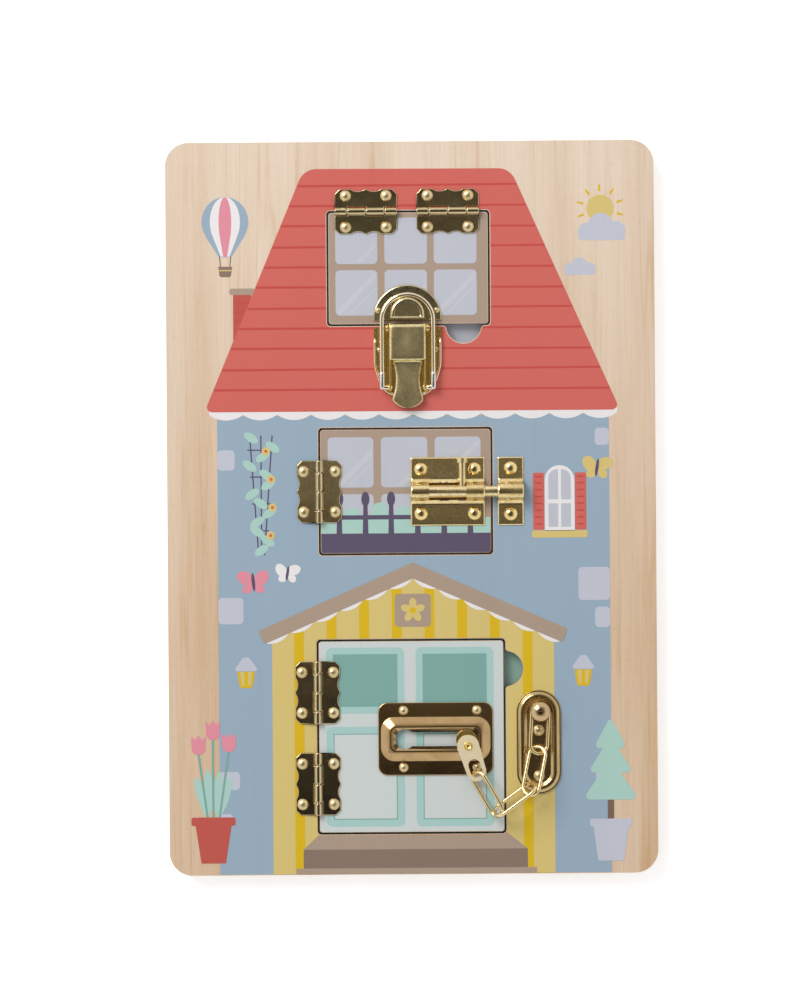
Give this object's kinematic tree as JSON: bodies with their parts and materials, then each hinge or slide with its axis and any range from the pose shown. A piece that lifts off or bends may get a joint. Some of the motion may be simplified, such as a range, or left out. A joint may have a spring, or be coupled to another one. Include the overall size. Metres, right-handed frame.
{
  "type": "wooden busy board",
  "caption": "Rectangular plywood busy board printed with a house, with hinged wooden leaves held shut by small brass locks: a toggle latch, a barrel bolt and a door chain.",
  "frame": {"origin": "middle of the board's back face", "axes": "+Z out of the printed front face, +Y to the house's roof along the long side, +X to the house's right side"},
  "size_m": [0.2, 0.3, 0.0209],
  "materials": {
    "plain_ply": "bare pale plywood, printed in blue and mint where the finger notches show it",
    "printed_board": "pale maple-faced plywood with a flat matt print of a house",
    "printed_attic_window": "plywood with a flat matt print of a window",
    "printed_balcony_window": "plywood with a flat matt print of a window and a balcony",
    "printed_door": "plywood with a flat matt print of a double door",
    "sheet_brass": "polished, brass-plated pressed steel",
    "brass_nails": "polished domed heads",
    "brass_wire": "bright brass-plated wire",
    "turned_brass": "polished turned brass"
  },
  "bodies": {
    "board": {"back_panel": "plain_ply", "front_panel": "printed_board", "attic_hinge_left_board_leaf": "sheet_brass", "attic_hinge_left_pin": "turned_brass", "attic_hinge_right_board_leaf": "sheet_brass", "attic_hinge_right_pin": "turned_brass", "balcony_hinge_board_leaf": "sheet_brass", "balcony_hinge_pin": "turned_brass", "door_hinge_upper_board_leaf": "sheet_brass", "door_hinge_upper_pin": "turned_brass", "door_hinge_lower_board_leaf": "sheet_brass", "door_hinge_lower_pin": "turned_brass", "attic_hinge_board_nails": "brass_nails", "balcony_hinge_board_nails": "brass_nails", "door_hinge_board_nails": "brass_nails", "toggle_base": "sheet_brass", "toggle_lever_rivet": "brass_nails", "toggle_base_nails": "brass_nails", "bolt_keeper": "sheet_brass", "bolt_keeper_nails": "brass_nails", "chain_anchor_plate": "sheet_brass", "chain_anchor_knob": "turned_brass", "chain_anchor_nails": "brass_nails"},
    "attic_leaf": {"attic_window": "printed_attic_window", "attic_hinge_left_window_leaf": "sheet_brass", "attic_hinge_right_window_leaf": "sheet_brass", "attic_hinge_window_nails": "brass_nails", "toggle_catch": "sheet_brass", "toggle_catch_nails": "brass_nails"},
    "balcony_leaf": {"balcony_window": "printed_balcony_window", "balcony_hinge_window_leaf": "sheet_brass", "balcony_hinge_window_nails": "brass_nails", "bolt_plate": "sheet_brass", "bolt_plate_nails": "brass_nails"},
    "door_leaf": {"front_door": "printed_door", "door_hinge_upper_door_leaf": "sheet_brass", "door_hinge_lower_door_leaf": "sheet_brass", "door_hinge_door_nails": "brass_nails", "chain_track": "sheet_brass", "chain_track_nails": "brass_nails"},
    "latch_lever": {"toggle_lever": "sheet_brass"},
    "latch_loop": {"toggle_loop": "brass_wire"},
    "rod": {"bolt_rod": "turned_brass"},
    "handle": {"bolt_handle": "turned_brass"},
    "slider_stud": {"chain_slider_stud": "brass_wire"},
    "slider_plate": {"chain_slider_plate": "brass_wire"},
    "link_1": {"chain_link_1": "brass_wire"},
    "link_2": {"chain_link_2": "brass_wire"},
    "link_3": {"chain_link_3": "brass_wire"},
    "link_4": {"chain_link_4": "brass_wire"}
  },
  "joints": [
    {"name": "attic_window_swing", "type": "hinge", "parent": "board", "child": "attic_leaf", "pos_m": [-0.00115, 0.12135, 0.01155], "axis": [-1, 0, 0], "range_deg": [0, 160]},
    {"name": "balcony_window_swing", "type": "hinge", "parent": "board", "child": "balcony_leaf", "pos_m": [-0.0377, 0.0068, 0.01155], "axis": [0, -1, 0], "range_deg": [0, 160]},
    {"name": "front_door_swing", "type": "hinge", "parent": "board", "child": "door_leaf", "pos_m": [-0.03895, -0.0941, 0.01155], "axis": [0, -1, 0], "range_deg": [0, 160]},
    {"name": "toggle_lever_lift", "type": "hinge", "parent": "board", "child": "latch_lever", "pos_m": [-0.0012, 0.0735, 0.0131], "axis": [-1, 0, 0], "range_deg": [0, 120]},
    {"name": "toggle_loop_turn", "type": "hinge", "parent": "latch_lever", "child": "latch_loop", "pos_m": [-0.0012, 0.0492, 0.0131], "axis": [-1, 0, 0], "range_deg": [-138.5, 0]},
    {"name": "bolt_rod_slide", "type": "slide", "parent": "balcony_leaf", "child": "rod", "axis": [-1, 0, 0], "range_m": [0, 0.0115]},
    {"name": "bolt_handle_turn", "type": "hinge", "parent": "rod", "child": "handle", "pos_m": [0.02055, 0.0066, 0.0134], "axis": [1, 0, 0], "range_deg": [0, 180]},
    {"name": "chain_slider_slide", "type": "slide", "parent": "door_leaf", "child": "slider_stud", "axis": [-1, 0, 0], "range_m": [0, 0.025]},
    {"name": "slider_plate_swivel", "type": "hinge", "parent": "slider_stud", "child": "slider_plate", "pos_m": [0.0216, -0.095, 0.0139], "axis": [0, 0, 1], "range_deg": [0, 26.6]},
    {"name": "chain_link_4_turn", "type": "hinge", "parent": "board", "child": "link_4", "pos_m": [0.052, -0.0836, 0.0138], "axis": [0, 0, 1], "range_deg": [-26.4, 0]},
    {"name": "chain_link_3_turn", "type": "hinge", "parent": "link_4", "child": "link_3", "pos_m": [0.0512, -0.0983, 0.0141], "axis": [0, 0, 1], "range_deg": [0, 3.7]},
    {"name": "chain_link_2_turn", "type": "hinge", "parent": "link_3", "child": "link_2", "pos_m": [0.0479, -0.1144, 0.0171], "axis": [0, 0, 1], "range_deg": [0, 11.8]},
    {"name": "chain_link_1_turn", "type": "hinge", "parent": "link_2", "child": "link_1", "pos_m": [0.0344, -0.1243, 0.0165], "axis": [0, 0, 1], "range_deg": [0, 29.5]}
  ],
  "couplings": [
    {"joint": "toggle_loop_turn", "follows": "toggle_lever_lift", "ratio": -1.15},
    {"joint": "slider_plate_swivel", "follows": "chain_slider_slide", "rad_per_m": 18.48},
    {"joint": "chain_link_4_turn", "follows": "chain_slider_slide", "rad_per_m": -18.324},
    {"joint": "chain_link_3_turn", "follows": "chain_slider_slide", "rad_per_m": 2.496},
    {"joint": "chain_link_2_turn", "follows": "chain_slider_slide", "rad_per_m": 8.102},
    {"joint": "chain_link_1_turn", "follows": "chain_slider_slide", "rad_per_m": 20.422}
  ]
}
